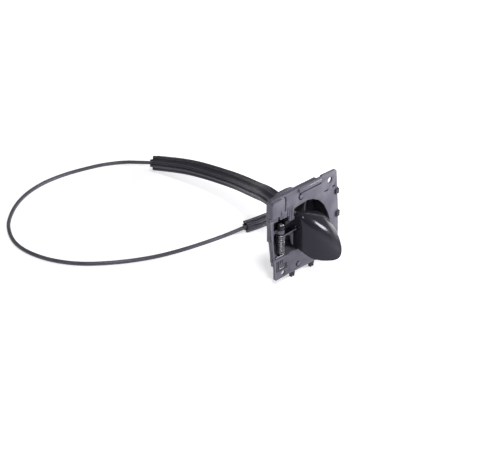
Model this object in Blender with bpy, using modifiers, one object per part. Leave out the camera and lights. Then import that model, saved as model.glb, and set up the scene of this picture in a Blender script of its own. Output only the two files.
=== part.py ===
"""Door release handle for a vehicle, with its release cable. Sizes in mm, +Z up, front faces -Y."""
import bpy
import bmesh
import math
from mathutils import Vector, Matrix

MM = 0.001

# Frame: sizes below are measured from the plate's lower left, this moves them to the part's origin
ORIGIN = (47.0, -0.5, 0.0)

# Fits
GAP = 0.3
FACE_TURNS = 24

# Plate
SKIN = 2.4
TRAY_DEPTH = 6.4
WALL = 2.6
TRAY_STEP = 0.5
EAR_HOLE_TOP = (85.6, 101.2, 3.6)
EAR_HOLE_LOW = (12.6, 12.7, 3.1)
POST_TOP = (38.3, 97.6)
POST_LOW = (36.8, 14.3)
POST_R = 2.5
ARCH_LEFT = 27.4
CASE_BACK = (14.6, 16.6)
CASE_FOOT = 22.5
CASE_STEP = 57.6
CASE_TOP = 80.0
CASE_RIGHT = 46.6
PAD_PROUD = 3.0
RIDGE_R = 2.6

# Hinge
AXIS_X = 13.5
AXIS_Y = 6.0
PIN_R = 1.8
PIN_LOW = 16.5
PIN_SHOULDER = 69.6
PIN_TOP = 72.2
PIN_HEAD_R = 3.6
BORE_R = PIN_R + GAP + 0.05
BARREL_R = 4.4
LOW_BARREL = (19.2, 24.7)
LOW_KNUCKLE = (LOW_BARREL[1] + GAP, 29.7)
SHELF = (LOW_KNUCKLE[1] + GAP, 33.2)
HIGH_BARREL = (60.0, 64.5)
HIGH_KNUCKLE = (HIGH_BARREL[1] + GAP, PIN_SHOULDER - GAP)
YOKE_IN = 5.4
YOKE_OUT = 8.0
YOKE_FROM = 40.0
YOKE_TO = 85.0

# Spring
SPRING_WIRE_R = 0.9
SPRING_R = 3.8
SPRING_COILS = 10
SPRING_LOW = 34.8
SPRING_HIGH = 58.4
SPRING_STEPS = 16

# Lever
SHELL_WALL = 2.4
PANEL = (30.9, 33.3)
PANEL_FOOT = 40.0
LINK_FRONT = 10.6
LINK_BACK = 13.0
LINK_TOP = 71.0
FORK_GAP = 5.6
FORK_REACH = 38.0
FORK_FRONT = 0.9
FORK_DEEP = 10.6
CHEEK = 2.0
LEG_END = (35.5, -1.8, 62.6)
NOTCH = ((28.5, 38.5), (-4.4, 1.6), (60.4, 64.4))

# Cable
WIRE_R = 0.75
WIRE_Z = 73.5
NIPPLE_AT = (33.5, AXIS_Y)
NIPPLE_R = 3.0
CONDUIT_R = 2.35
LONG_SLEEVE_R = 10.0
SHORT_SLEEVE_R = 7.7
SLEEVE_BORE_R = 4.6
FLUTES = 8
FLUTE_DEPTH = 1.0
PULL_HEADING = 17.5
WALL_BACK = (31.0, 34.0)
FIT_FLANGE_R = 4.5
FIT_NECK_R = 3.0
FIT_BODY_R = 3.4
FIT_BORE_R = WIRE_R + 0.4

parts = bpy.data.collections.new("door_release_handle")
cutters = bpy.data.collections.new("door_release_handle_cutters")


def clear_scene():
    for obj in list(bpy.data.objects):
        bpy.data.objects.remove(obj, do_unlink=True)
    bpy.context.scene.collection.children.link(parts)
    bpy.context.scene.collection.children.link(cutters)


def material(name, colour, rough, metal=0.0):
    mat = bpy.data.materials.new(name)
    mat.use_nodes = True
    bsdf = mat.node_tree.nodes["Principled BSDF"]
    bsdf.inputs["Base Color"].default_value = (*colour, 1.0)
    bsdf.inputs["Roughness"].default_value = rough
    bsdf.inputs["Metallic"].default_value = metal
    return mat


def place(obj, is_part):
    if is_part:
        parts.objects.link(obj)
    else:
        cutters.objects.link(obj)
        obj.hide_render = True
        obj.display_type = "WIRE"
    return obj


def mesh_object(name, bm, is_part=False):
    bmesh.ops.recalc_face_normals(bm, faces=bm.faces)
    mesh = bpy.data.meshes.new(name)
    bm.to_mesh(mesh)
    bm.free()
    return place(bpy.data.objects.new(name, mesh), is_part)


def box(name, x, y, z, is_part=False):
    bm = bmesh.new()
    size = Vector((x[1] - x[0], y[1] - y[0], z[1] - z[0])) * MM
    middle = Vector((x[0] + x[1], y[0] + y[1], z[0] + z[1])) * MM / 2
    bmesh.ops.create_cube(bm, size=1.0, matrix=Matrix.Translation(middle) @ Matrix.Diagonal((*size, 1.0)))
    return mesh_object(name, bm, is_part)


def rod(name, start, end, radius, turns=FACE_TURNS, is_part=False):
    a = Vector(start) * MM
    b = Vector(end) * MM
    turn = (b - a).to_track_quat("Z", "Y").to_matrix().to_4x4()
    bm = bmesh.new()
    bmesh.ops.create_cone(bm, cap_ends=True, segments=turns, radius1=radius * MM, radius2=radius * MM,
                          depth=(b - a).length, matrix=Matrix.Translation((a + b) / 2) @ turn)
    return mesh_object(name, bm, is_part)


def upright(name, z, radius, turns=FACE_TURNS, is_part=False):
    return rod(name, (AXIS_X, AXIS_Y, z[0]), (AXIS_X, AXIS_Y, z[1]), radius, turns, is_part)


def rounded(corners, steps=5):
    """Outline with each corner (x, z, radius) rounded by an arc."""
    out = []
    count = len(corners)
    for i, (x, z, radius) in enumerate(corners):
        here = Vector((x, z))
        to_last = (Vector(corners[i - 1][:2]) - here).normalized()
        to_next = (Vector(corners[(i + 1) % count][:2]) - here).normalized()
        half = to_last.angle(to_next) / 2
        if radius <= 0 or half > math.radians(88):
            out.append((x, z))
            continue
        reach = radius / math.tan(half)
        middle = here + (to_last + to_next).normalized() * (radius / math.sin(half))
        first = here + to_last * reach - middle
        last = here + to_next * reach - middle
        sweep = first.angle_signed(last)
        for k in range(steps + 1):
            spun = Matrix.Rotation(-sweep * k / steps, 2) @ first
            out.append(tuple(middle + spun))
    return out


def slab(name, loops, depth, plane="XZ", is_part=False):
    """Flat outline with holes, given thickness from depth[0] to depth[1]."""
    curve = bpy.data.curves.new(name, "CURVE")
    curve.dimensions = "2D"
    curve.fill_mode = "BOTH"
    curve.extrude = (depth[1] - depth[0]) * MM / 2
    for loop in loops:
        spline = curve.splines.new("POLY")
        spline.points.add(len(loop) - 1)
        for point, (u, v) in zip(spline.points, loop):
            point.co = (u * MM, v * MM, 0.0, 1.0)
        spline.use_cyclic_u = True
    temp = bpy.data.objects.new(name, curve)
    cutters.objects.link(temp)
    middle = (depth[0] + depth[1]) * MM / 2
    if plane == "XZ":
        turn = Matrix.Translation((0, middle, 0)) @ Matrix.Rotation(math.radians(90), 4, "X")
    else:
        turn = Matrix.Translation((0, 0, middle))
    bpy.context.view_layer.update()
    mesh = bpy.data.meshes.new_from_object(temp.evaluated_get(bpy.context.evaluated_depsgraph_get()))
    mesh.transform(turn)
    bpy.data.objects.remove(temp, do_unlink=True)
    bpy.data.curves.remove(curve)
    bm = bmesh.new()
    bm.from_mesh(mesh)
    bmesh.ops.remove_doubles(bm, verts=bm.verts, dist=0.00002)
    bpy.data.meshes.remove(mesh)
    return mesh_object(name, bm, is_part)


def combine(target, others, operation):
    for other in others:
        mod = target.modifiers.new(operation.title() + " " + other.name, "BOOLEAN")
        mod.operation = operation
        mod.solver = "EXACT"
        mod.object = other


def wire(name, points, radius, is_part=True, around=2):
    curve = bpy.data.curves.new(name, "CURVE")
    curve.dimensions = "3D"
    curve.bevel_depth = radius * MM
    curve.bevel_resolution = around
    curve.use_fill_caps = True
    curve.render_resolution_u = 0
    spline = curve.splines.new("POLY")
    spline.points.add(len(points) - 1)
    for point, co in zip(spline.points, points):
        point.co = (*(Vector(co) * MM), 1.0)
    return place(bpy.data.objects.new(name, curve), is_part)


def fluted_ring(name, radius, count, depth):
    """Section with lengthwise flutes: crest, crest, valley, valley round and round."""
    curve = bpy.data.curves.new(name, "CURVE")
    curve.dimensions = "2D"
    spline = curve.splines.new("POLY")
    spline.points.add(count * 4 - 1)
    for k, point in enumerate(spline.points):
        turn = 2 * math.pi * (k // 4 + (0.0, 0.42, 0.56, 0.86)[k % 4]) / count
        r = (radius - depth if k % 4 > 1 else radius) * MM
        point.co = (r * math.cos(turn), r * math.sin(turn), 0.0, 1.0)
    spline.use_cyclic_u = True
    return place(bpy.data.objects.new(name, curve), False)


def tube_mesh(name, points, radius, around, is_part=False, section=None):
    temp = wire(name + "_path", points, radius, False, around)
    if section:
        temp.data.bevel_mode = "OBJECT"
        temp.data.bevel_object = section
    bpy.context.view_layer.update()
    mesh = bpy.data.meshes.new_from_object(temp.evaluated_get(bpy.context.evaluated_depsgraph_get()))
    bpy.data.objects.remove(temp, do_unlink=True)
    bm = bmesh.new()
    bm.from_mesh(mesh)
    bmesh.ops.remove_doubles(bm, verts=bm.verts, dist=0.00002)
    bpy.data.meshes.remove(mesh)
    return mesh_object(name, bm, is_part)


def turned(name, profile, start, heading, turns=FACE_TURNS):
    """Closed ring profile (radius, distance along), outer side from far to near, spun and laid along heading."""
    mesh = bpy.data.meshes.new(name)
    count = len(profile)
    mesh.from_pydata([(r * MM, 0.0, t * MM) for r, t in profile],
                     [(i, (i + 1) % count) for i in range(count)], [])
    obj = place(bpy.data.objects.new(name, mesh), True)
    mod = obj.modifiers.new("Turn", "SCREW")
    mod.axis = "Z"
    mod.steps = turns
    mod.render_steps = turns
    mod.use_merge_vertices = True
    mod.merge_threshold = 0.00001
    obj.location = Vector(start) * MM
    obj.rotation_mode = "QUATERNION"
    obj.rotation_quaternion = Vector(heading).to_track_quat("Z", "Y")
    return obj


def smooth_route(through, spacing):
    """Points about `spacing` apart on a smooth curve through the given ones."""
    pts = [Vector(p) for p in through]
    pts = [pts[0] * 2 - pts[1]] + pts + [pts[-1] * 2 - pts[-2]]
    fine = []
    for a, b, c, d in zip(pts, pts[1:], pts[2:], pts[3:]):
        steps = max(8, int((c - b).length / 0.5))
        for k in range(steps):
            u = k / steps
            fine.append(0.5 * ((2 * b) + (c - a) * u + (2 * a - 5 * b + 4 * c - d) * u * u
                               + (3 * b - 3 * c + d - a) * u ** 3))
    fine.append(pts[-2])
    lengths = [0.0]
    for a, b in zip(fine, fine[1:]):
        lengths.append(lengths[-1] + (b - a).length)
    count = max(2, round(lengths[-1] / spacing))
    out = []
    j = 0
    for k in range(count + 1):
        want = lengths[-1] * k / count
        while j < len(fine) - 2 and lengths[j + 1] < want:
            j += 1
        part_way = (want - lengths[j]) / max(lengths[j + 1] - lengths[j], 1e-9)
        out.append(fine[j].lerp(fine[j + 1], part_way))
    return out


def inset(corners, amount):
    """Anticlockwise corners (x, z, radius) moved inwards, radii kept concentric."""
    out = []
    count = len(corners)
    for i, (x, z, radius) in enumerate(corners):
        here = Vector((x, z))
        d1 = (here - Vector(corners[i - 1][:2])).normalized()
        d2 = (Vector(corners[(i + 1) % count][:2]) - here).normalized()
        n1 = Vector((-d1.y, d1.x))
        n2 = Vector((-d2.y, d2.x))
        mid = (n1 + n2).normalized()
        moved = here + mid * amount / mid.dot(n1)
        out.append((moved.x, moved.y, max(radius - amount, 0.0)))
    return out


clear_scene()

# Materials
grey = material("satin_grey_plastic", (0.072, 0.070, 0.085), 0.42)
gloss_black = material("gloss_black_plastic", (0.012, 0.012, 0.014), 0.22)
matt_black = material("matt_black_plastic", (0.02, 0.02, 0.022), 0.55)
bowl_black = material("grained_black_plastic", (0.018, 0.018, 0.02), 0.6)
rubber = material("dark_rubber", (0.022, 0.021, 0.024), 0.65)
buffer_rubber = material("soft_rubber", (0.03, 0.03, 0.03), 0.75)
conduit_black = material("conduit_black", (0.018, 0.018, 0.02), 0.4)
pin_steel = material("pin_steel", (0.55, 0.55, 0.57), 0.3, 1.0)
spring_steel = material("spring_steel", (0.62, 0.62, 0.64), 0.28, 1.0)
wire_steel = material("wire_steel", (0.5, 0.5, 0.52), 0.35, 1.0)
zinc = material("cast_zinc", (0.48, 0.48, 0.5), 0.45, 1.0)

# Plate outline, anticlockwise seen from the front
outline = rounded([(-1.2, 6.9, 3.2), (20.5, 7.69, 0.0), (103.5, 6.5, 4.0), (102.8, 35.0, 0.0), (101.2, 63.0, 0.0),
                   (96.1, 111.6, 4.0), (71.5, 111.6, 0.0), (70.5, 110.2, 0.0), (-9.6, 108.8, 4.0),
                   (-9.7, 82.0, 0.0), (-1.2, 20.0, 0.0)])
window = rounded([(-2.2, 33.5, 1.0), (20.7, 33.5, 1.0), (20.7, 57.0, 0.0), (20.7, 58.0, 0.0),
                  (ARCH_LEFT, 58.0, 0.0), (ARCH_LEFT, 34.0, 2.0), (88.0, 34.0, 8.0), (88.0, 50.0, 0.0),
                  (85.3, 58.7, 0.0), (82.4, 64.3, 0.0), (77.5, 73.2, 0.0), (69.0, 82.3, 0.0),
                  (58.0, 88.0, 0.0), (49.0, 89.7, 0.0), (38.6, 88.7, 0.0), (ARCH_LEFT, 87.0, 2.0),
                  (ARCH_LEFT, 74.0, 1.0), (20.7, 74.0, 1.0), (20.7, 81.0, 2.0), (-6.5, 81.0, 2.0)])
low_window = rounded([(8.2, 17.3, 1.0), (18.0, 17.3, 1.0), (18.0, 24.9, 1.0), (8.2, 24.9, 1.0)])
divider_slot = rounded([(22.7, 40.0, 0.6), (24.2, 40.0, 0.6), (24.2, 55.0, 0.6), (22.7, 55.0, 0.6)])
ridge_pocket = rounded([(69.4, 104.0, 0.8), (71.9, 104.0, 0.8), (71.9, 108.4, 0.8), (69.4, 108.4, 0.8)])


def ring(centre, radius, turns=FACE_TURNS):
    return [(centre[0] + radius * math.cos(2 * math.pi * k / turns),
             centre[1] + radius * math.sin(2 * math.pi * k / turns)) for k in range(turns)]


base_plate = slab("base_plate", [outline, window, low_window, divider_slot, ridge_pocket,
                                 ring(EAR_HOLE_TOP, EAR_HOLE_TOP[2]), ring(EAR_HOLE_LOW, EAR_HOLE_LOW[2]),
                                 ring(POST_TOP, POST_R + GAP + 0.05), ring(POST_LOW, POST_R + GAP + 0.05)],
                  (0.0, SKIN), is_part=True)
base_plate.data.materials.append(grey)

tray_corners = [(20.5, 7.69, 1.0), (103.5, 6.5, 7.0), (102.8, 35.0, 0.0), (101.2, 63.0, 0.0),
                (98.6, 88.0, 1.0), (66.0, 110.1, 1.0), (-9.6, 108.8, 4.0), (-9.7, 82.0, 0.0),
                (-1.64, 27.0, 1.0), (5.0, 21.0, 1.0), (17.5, 21.0, 1.0)]
tray_wall = slab("tray_wall", [rounded(inset(tray_corners, TRAY_STEP)), rounded(inset(tray_corners, TRAY_STEP + WALL))],
                 (SKIN - 0.6, TRAY_DEPTH))
hump = slab("top_hump", [[(4.0, 106.9), (34.0, 106.9), (31.0, 109.6), (24.0, 110.6), (13.0, 110.4), (6.0, 109.3)]],
            (TRAY_DEPTH - 1.8, TRAY_DEPTH + 2.2))
pad = slab("corner_pad", [rounded([(-9.6, 88.0, 3.0), (12.4, 88.0, 3.0), (12.4, 107.4, 5.0),
                                   (-9.3, 107.2, 3.5)])], (-PAD_PROUD, 0.6))
ridge = rod("ridge", (34.0, 0.4, 106.6), (70.0, 0.4, 107.2), RIDGE_R, 16)
left_jamb = box("left_jamb", (-8.0, -2.2), (SKIN - 0.6, 6.3), (58.0, 84.0))
high_barrel = upright("high_barrel", HIGH_BARREL, BARREL_R)
high_web = box("high_web", (-3.0, AXIS_X), (4.0, 9.0), (HIGH_BARREL[0] + 0.3, HIGH_BARREL[1] - 0.3))
shelf = box("spring_shelf", (0.9, AXIS_X), (SKIN - 0.6, 9.4), SHELF)
shelf_nose = box("spring_shelf_nose", (AXIS_X - 1.0, 20.0), (SKIN - 0.7, 5.0), (SHELF[0] + 0.01, SHELF[1] - 0.01))
shelf_disc = upright("spring_shelf_disc", (SHELF[0] + 0.02, SHELF[1] - 0.02), 4.9)
low_barrel = upright("low_barrel", LOW_BARREL, BARREL_R)
low_block = box("low_block", (5.0, 21.4), (SKIN - 0.7, 12.0), (LOW_BARREL[0] + 0.1, LOW_BARREL[1] - 0.1))
side_rib = box("side_rib", (18.9, 20.4), (SKIN - 0.8, 4.95), (32.6, 56.6))
leg_stop = box("leg_stop", (0.6, 4.4), (AXIS_Y - SPRING_R + SPRING_WIRE_R + GAP, 9.1), (32.8, 38.0))

side_arm = box("side_arm", (24.0, 26.5), (SKIN - 0.6, 33.5), (77.0, 86.0))
rear_web = box("rear_web", (24.1, 26.4), (16.4, 33.0), (58.0, 85.9))
drop_wall = box("drop_wall", (24.01, 49.5), WALL_BACK, (62.0, 86.01))
stop_wall = box("stop_wall", (20.0, 32.0), (16.0, 18.5), (58.01, 76.0))
case_low = slab("case_low", [[(-4.8, SKIN - 0.65), (-4.8, 3.9), (CASE_BACK[1] - 8.7, CASE_BACK[1]),
                              (CASE_RIGHT, CASE_BACK[1]), (CASE_RIGHT, CASE_BACK[0]),
                              (CASE_BACK[0] - 5.9, CASE_BACK[0]), (-2.6, 3.3), (-2.6, SKIN - 0.65)]],
                (31.5, CASE_STEP), "XY")
case_high = slab("case_high", [[(-7.0, SKIN - 0.62), (-7.0, 5.2), (CASE_BACK[1] - 12.2, CASE_BACK[1] - 0.02),
                                (21.5, CASE_BACK[1] - 0.02), (21.5, CASE_BACK[0] + 0.02),
                                (CASE_BACK[0] - 9.4, CASE_BACK[0] + 0.02), (-5.0, 4.4), (-5.0, SKIN - 0.62)]],
                 (CASE_STEP - 0.6, CASE_TOP), "XY")
case_apron = box("case_apron", (CASE_BACK[1] - 8.0, 31.0), (CASE_BACK[0] + 0.04, CASE_BACK[1] - 0.04),
                 (CASE_FOOT, 31.9))
case_floor = box("case_floor", (22.6, CASE_RIGHT - 0.9), (SKIN - 0.75, CASE_BACK[1] - 0.3), (31.6, 33.6))

pull = Vector((math.sin(math.radians(PULL_HEADING)), math.cos(math.radians(PULL_HEADING)), 0.0))
nipple_centre = Vector((*NIPPLE_AT, WIRE_Z))


def along(distance):
    return nipple_centre + pull * distance


seat = along(((WALL_BACK[0] + WALL_BACK[1]) / 2 - AXIS_Y) / pull.y)
seat_half = FIT_NECK_R + 0.9
seat_slot = box("cable_seat_slot", (seat.x - seat_half, seat.x + seat_half), (WALL_BACK[0] - 1, WALL_BACK[1] + 1),
                (WIRE_Z - seat_half, 88.0))
BUFFER_AT = (26.0, 66.0)
buffer_hole = rod("buffer_hole", (BUFFER_AT[0], 15.0, BUFFER_AT[1]), (BUFFER_AT[0], 19.5, BUFFER_AT[1]), 1.85)
pin_bore = upright("pin_bore", (LOW_BARREL[0] - 2.0, HIGH_BARREL[1] + 1.0), BORE_R)
pad_wedge = slab("pad_wedge", [[(8.3, 80.0), (11.5, 80.0), (8.5, 93.0), (7.5, 93.0)]], (-5.0, 4.0))
pad_groove = slab("pad_groove", [[(12.7, 90.0), (14.2, 90.0), (14.2, 105.0), (13.4, 106.2),
                                  (12.7, 106.2)]], (-1.0, 1.6))

# Clip slots: middle of the slot on the plate's edge, and the way out
CLIPS = {
    "edge_clip_bottom_left": ((30.2, 7.55), (0.0, -1.0)),
    "edge_clip_bottom_right": ((61.8, 7.10), (0.0, -1.0)),
    "edge_clip_right_lower": ((101.69, 54.5), (1.0, 0.0)),
    "edge_clip_right_upper": ((99.05, 83.6), (1.0, 0.0)),
}
CLIP_Y = (1.0, 5.6)
CLIP_SPAN = {"edge_clip_bottom_left": 5.2, "edge_clip_bottom_right": 5.2,
             "edge_clip_right_lower": 7.2, "edge_clip_right_upper": 6.0}
STEM_HALF = 1.0
FLAP_LONG = 4.2
FLAP_THICK = 1.3
CLIP_STICK_OUT = {"edge_clip_bottom_left": 7.55, "edge_clip_bottom_right": 7.10,
                  "edge_clip_right_lower": 2.25, "edge_clip_right_upper": 2.6}


def clip_box(name, clip, across, out_range, depth, is_part=False):
    (x, z), (outwards, _) = CLIPS[clip]
    if outwards:
        return box(name, (x + out_range[0], x + out_range[1]), depth, (z + across[0], z + across[1]), is_part)
    return box(name, (x + across[0], x + across[1]), depth, (z - out_range[1], z - out_range[0]), is_part)


slots = []
for clip in CLIPS:
    slots.append(clip_box(clip + "_slot", clip, (-STEM_HALF - GAP, STEM_HALF + GAP), (-WALL - 1.6, 1.2),
                          (2.5, 4.6)))

combine(base_plate, [tray_wall, hump, pad, ridge, left_jamb, high_barrel, high_web, shelf, shelf_nose,
                     shelf_disc, low_barrel, low_block, side_rib, leg_stop, side_arm, rear_web, drop_wall,
                     stop_wall, case_low, case_high, case_apron, case_floor], "UNION")
combine(base_plate, [seat_slot, buffer_hole, pin_bore, pad_wedge, pad_groove] + slots, "DIFFERENCE")

# Clips
for clip in CLIPS:
    half = CLIP_SPAN[clip] / 2
    reach = CLIP_STICK_OUT[clip]
    shoulder = min(3.2, reach * 0.55)
    body = clip_box(clip, clip, (-half, half), (GAP + 0.25, shoulder), CLIP_Y, True)
    prong_a = clip_box(clip + "_prong_a", clip, (-half + 0.01, -half + 1.9), (shoulder - 0.8, reach), (1.4, 5.2))
    prong_b = clip_box(clip + "_prong_b", clip, (half - 1.9, half - 0.01), (shoulder - 0.8, reach), (1.4, 5.2))
    stem = clip_box(clip + "_stem", clip, (-STEM_HALF, STEM_HALF), (-WALL - 1.4, 1.0), (2.8, 4.3))
    head = clip_box(clip + "_head", clip, (-2.0, 2.0), (-WALL - 2.3, -WALL - 1.0), (2.79, 5.0))
    pieces = [prong_a, prong_b, stem, head]
    if CLIPS[clip][1][0]:
        flap = clip_box(clip + "_flap", clip, (-half + 0.02, half - 0.02), (-FLAP_LONG, shoulder - 0.1),
                        (-GAP - FLAP_THICK, -GAP))
        pieces += [flap, clip_box(clip + "_bend", clip, (-half + 0.03, half - 0.03), (GAP + 0.3, shoulder - 0.15),
                                  (-GAP - 0.5, CLIP_Y[0] + 0.5))]
    combine(body, pieces, "UNION")
    body.data.materials.append(matt_black)

# Lever: grid of the scoop's outer face, from its lower edge up the front, over the roof and back.
# Each row runs from the hinge side round the front to the free edge.
FOOT = [(30.6, 1.0, 38.5), (31.0, -6.0, 37.0), (31.8, -12.0, 34.5), (35.6, -18.2, 29.3),
        (41.5, -24.1, 26.4), (50.0, -29.3, 24.3), (59.6, -33.8, 22.9), (67.0, -35.7, 24.3)]
FACE_LOW = [(30.6, 1.0, 48.0), (31.0, -6.0, 47.5), (31.8, -12.0, 46.0), (35.7, -18.2, 43.5),
            (41.6, -24.1, 41.0), (50.2, -29.0, 38.0), (60.6, -33.0, 34.5), (71.2, -34.1, 32.0)]
FACE_HIGH = [(30.6, 1.0, 62.0), (31.0, -6.0, 62.0), (31.8, -11.8, 60.5), (35.9, -17.4, 57.5),
             (42.1, -22.7, 54.5), (51.0, -26.9, 50.0), (62.0, -29.6, 44.5), (74.2, -28.6, 37.8)]
RIDGE_LOW = [(30.7, 1.0, 73.5), (31.1, -5.6, 73.6), (32.2, -10.9, 72.6), (36.6, -16.0, 69.6),
             (43.0, -20.6, 66.2), (51.8, -23.6, 61.0), (63.0, -24.6, 53.6), (77.4, -22.5, 42.4)]
RIDGE_HIGH = [(31.4, 1.1, 78.4), (32.1, -4.6, 78.4), (34.2, -8.8, 77.8), (39.2, -13.0, 75.0),
              (45.8, -16.4, 71.4), (54.6, -18.6, 66.0), (65.8, -18.8, 59.0), (80.2, -16.0, 46.5)]
ROOF_FRONT = [(33.0, 1.2, 80.3), (35.6, -3.2, 80.2), (39.8, -6.0, 79.2), (45.4, -8.6, 77.0),
              (52.4, -10.6, 73.4), (61.0, -11.6, 68.6), (71.0, -11.4, 62.0), (81.9, -9.0, 50.3)]
ROOF_BACK = [(34.6, 1.3, 80.5), (38.4, -1.2, 80.0), (43.6, -2.8, 78.8), (49.8, -4.0, 76.6),
             (56.8, -4.8, 73.4), (64.8, -5.2, 69.2), (73.6, -4.8, 63.6), (82.4, -3.0, 54.6)]
RIM = [(36.2, 1.4, 80.2), (41.5, 1.4, 78.8), (47.5, 1.4, 77.0), (54.0, 1.4, 74.8),
       (60.5, 1.4, 72.2), (67.5, 1.4, 69.0), (74.5, 1.3, 65.0), (81.0, 1.2, 60.0)]


def scoop():
    rows = [FOOT, FACE_LOW, FACE_HIGH, RIDGE_LOW, RIDGE_HIGH, ROOF_FRONT, ROOF_BACK, RIM]
    bm = bmesh.new()
    grid = [[bm.verts.new(Vector(p) * MM) for p in row] for row in rows]
    for low, high in zip(grid, grid[1:]):
        for i in range(len(low) - 1):
            bm.faces.new((low[i], low[i + 1], high[i + 1], high[i]))
    obj = mesh_object("lever", bm, True)
    if obj.data.polygons[8].normal.y > 0:
        obj.data.flip_normals()
    sub = obj.modifiers.new("Round", "SUBSURF")
    sub.levels = 1
    sub.render_levels = 1
    thick = obj.modifiers.new("Wall", "SOLIDIFY")
    thick.thickness = SHELL_WALL * MM
    thick.offset = -1.0
    thick.use_even_offset = True
    return obj


def arc_piece(name, z, inner, outer, start, stop, steps=8):
    angles = [math.radians(start + (stop - start) * k / steps) for k in range(steps + 1)]
    loop = [(AXIS_X + outer * math.cos(a), AXIS_Y + outer * math.sin(a)) for a in angles]
    loop += [(AXIS_X + inner * math.cos(a), AXIS_Y + inner * math.sin(a)) for a in reversed(angles)]
    return slab(name, [loop], z, "XY")


lever = scoop()
lever.data.materials.append(gloss_black)
CHEEK_LOW = (WIRE_Z - FORK_GAP / 2 - CHEEK, WIRE_Z - FORK_GAP / 2)
CHEEK_HIGH = (WIRE_Z + FORK_GAP / 2, WIRE_Z + FORK_GAP / 2 + CHEEK)
panel = box("side_panel", PANEL, (-2.6, LINK_BACK - 0.1), (PANEL_FOOT, CHEEK_HIGH[1]))
web = slab("rear_link", [[(17.6, LINK_FRONT), (PANEL[0] + 1.1, LINK_FRONT), (PANEL[0] + 1.1, LINK_BACK),
                          (18.6, LINK_BACK)]], (PANEL_FOOT + 0.01, LINK_TOP), "XY")
yoke = arc_piece("yoke", (LOW_KNUCKLE[0], HIGH_KNUCKLE[1]), YOKE_IN, YOKE_OUT, YOKE_FROM, YOKE_TO)
arm = box("upper_arm", (AXIS_X, PANEL[0] + 1.0), (3.6, 8.4), (HIGH_KNUCKLE[0], HIGH_KNUCKLE[1] - 0.05))
arm_rib = box("arm_rib", (AXIS_X + PIN_HEAD_R + 1.4, PANEL[0] + 1.02), (3.7, 8.3), (HIGH_KNUCKLE[1] - 0.5, 73.2))
high_knuckle = upright("high_knuckle", HIGH_KNUCKLE, 4.5)
low_knuckle = upright("low_knuckle", LOW_KNUCKLE, 3.3)
high_bridge = arc_piece("high_bridge", (HIGH_KNUCKLE[0] + 0.01, HIGH_KNUCKLE[1] - 0.01), 2.8, 6.4,
                        YOKE_FROM + 4, YOKE_TO - 4)
low_bridge = arc_piece("low_bridge", (LOW_KNUCKLE[0] + 0.01, LOW_KNUCKLE[1] - 0.01), 2.8, 6.4,
                       YOKE_FROM + 4, YOKE_TO - 4)
cheek_low = box("cheek_low", (PANEL[0] + 0.7, FORK_REACH), (FORK_FRONT, FORK_DEEP), CHEEK_LOW)
cheek_high = box("cheek_high", (PANEL[0] + 0.7, FORK_REACH), (FORK_FRONT, FORK_DEEP), CHEEK_HIGH)
combine(lever, [panel, web, yoke, arm, arm_rib, high_knuckle, low_knuckle, high_bridge, low_bridge, cheek_low,
                cheek_high], "UNION")
fork_clear = box("fork_clear", (PANEL[0] - 2.0, FORK_REACH + 1.0), (1.8, LINK_BACK + 1.0),
                 (CHEEK_LOW[1], CHEEK_HIGH[0]))
nipple_hole = rod("nipple_hole", (*NIPPLE_AT, CHEEK_LOW[0] - 1), (*NIPPLE_AT, CHEEK_HIGH[1] + 1),
                  NIPPLE_R + GAP + 0.05)
lever_bore = upright("lever_bore", (LOW_KNUCKLE[0] - 1.0, HIGH_KNUCKLE[1] + 1.0), BORE_R)
spring_notch = box("spring_notch", *NOTCH)
combine(lever, [fork_clear, nipple_hole, lever_bore, spring_notch], "DIFFERENCE")

# Pin with a domed head, and the ring that keeps it in
hinge_pin = turned("hinge_pin", [(0.15, PIN_TOP), (1.5, PIN_TOP - 0.2), (2.8, PIN_TOP - 0.9),
                                 (PIN_HEAD_R, PIN_TOP - 1.8), (PIN_HEAD_R, PIN_SHOULDER),
                                 (PIN_R, PIN_SHOULDER), (PIN_R, PIN_LOW + 0.4), (PIN_R - 0.4, PIN_LOW),
                                 (0.15, PIN_LOW)],
                   (AXIS_X, AXIS_Y, 0.0), (0, 0, 1))
hinge_pin.data.materials.append(pin_steel)
RING_THICK = 1.3
lock_ring = upright("pin_lock_ring", (LOW_BARREL[0] - GAP - RING_THICK, LOW_BARREL[0] - GAP), 3.5, is_part=True)
lock_bore = upright("lock_bore", (PIN_LOW, LOW_BARREL[0]), PIN_R + GAP + 0.02)
combine(lock_ring, [lock_bore], "DIFFERENCE")
lock_ring.data.materials.append(zinc)

# Torsion spring
coil = []
for k in range(SPRING_COILS * SPRING_STEPS + 1):
    turn = 2 * math.pi * k / SPRING_STEPS - math.pi / 2
    rise = SPRING_LOW + (SPRING_HIGH - SPRING_LOW) * k / (SPRING_COILS * SPRING_STEPS)
    coil.append((AXIS_X + SPRING_R * math.cos(turn), AXIS_Y + SPRING_R * math.sin(turn), rise))
low_leg = [(1.2, AXIS_Y - SPRING_R, SPRING_LOW)]
high_leg = [LEG_END]
return_spring = wire("return_spring", low_leg + coil + high_leg, SPRING_WIRE_R)
return_spring.data.materials.append(spring_steel)

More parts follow.
